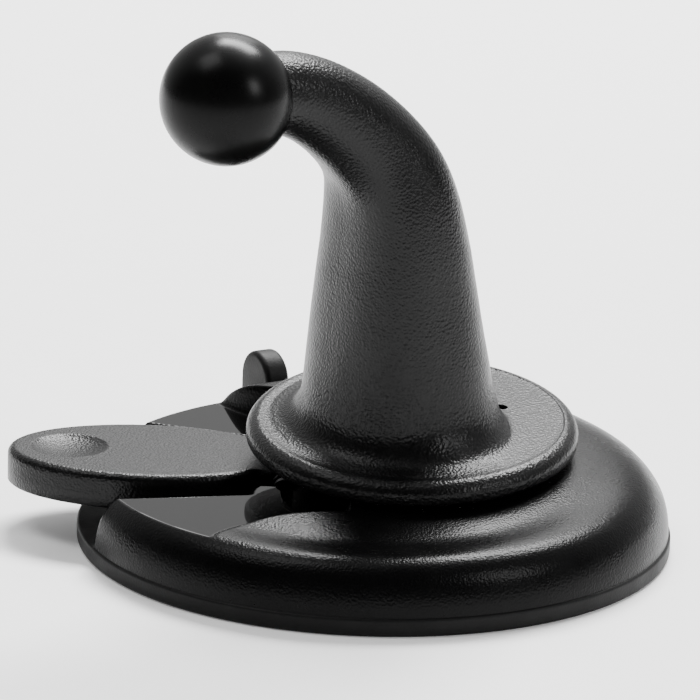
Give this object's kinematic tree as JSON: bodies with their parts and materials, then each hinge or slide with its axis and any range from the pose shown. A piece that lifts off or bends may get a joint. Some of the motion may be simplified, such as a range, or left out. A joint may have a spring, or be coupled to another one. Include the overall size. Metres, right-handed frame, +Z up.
{
  "type": "dashboard suction mount",
  "caption": "Round locking suction base with a flip lever, a raked swivel flange and a bent neck that ends in a ball.",
  "frame": {"origin": "centre of the suction pad's sealing face, on the surface that the mount stands on", "axes": "+X away from the lever, +Y to the back (the pull tab's side), +Z up from the surface"},
  "size_m": [0.0898, 0.0849, 0.0737],
  "materials": {
    "pad_rubber": "matte",
    "housing_black": "fine leather grain with glossy flats",
    "lever_black": "fine leather grain",
    "arm_black": "fine leather grain",
    "ball_black": "smooth satin",
    "inner_plastic": "as moulded",
    "acetal": "as moulded",
    "steel": "zinc plated",
    "black_steel": "black oxide"
  },
  "bodies": {
    "base": {"suction_pad": "pad_rubber", "diaphragm": "pad_rubber", "chassis": "inner_plastic", "chassis_screws": "steel", "base_cover": "housing_black", "hub": "housing_black", "swivel_bush": "acetal", "friction_washer": "acetal", "lever_pin": "black_steel", "lever_springs": "black_steel"},
    "stem": {"stem_core": "inner_plastic", "stem_pin": "steel"},
    "lever": {"lever": "lever_black"},
    "arm": {"arm": "arm_black", "swivel_sleeve": "steel", "retaining_plate": "steel", "swivel_screws": "steel", "ball_stud": "ball_black"}
  },
  "joints": [
    {"name": "arm_swivel", "type": "hinge", "parent": "base", "child": "arm", "pos_m": [0.0048, 0, 0.01435], "axis": [0, -0.1219, 0.9925], "continuous": true},
    {"name": "lever_flip", "type": "hinge", "parent": "base", "child": "lever", "pos_m": [-0.0115, 0, 0.0086], "axis": [0, 1, 0], "range_deg": [0, 16], "deforming": ["lever_springs"]},
    {"name": "stem_slide", "type": "slide", "parent": "base", "child": "stem", "axis": [0, 0, 1], "range_m": [-0.0034, 0], "deforming": ["diaphragm"]}
  ],
  "couplings": [
    {"joint": "stem_slide", "follows": "lever_flip", "m_per_rad": -0.0119}
  ]
}
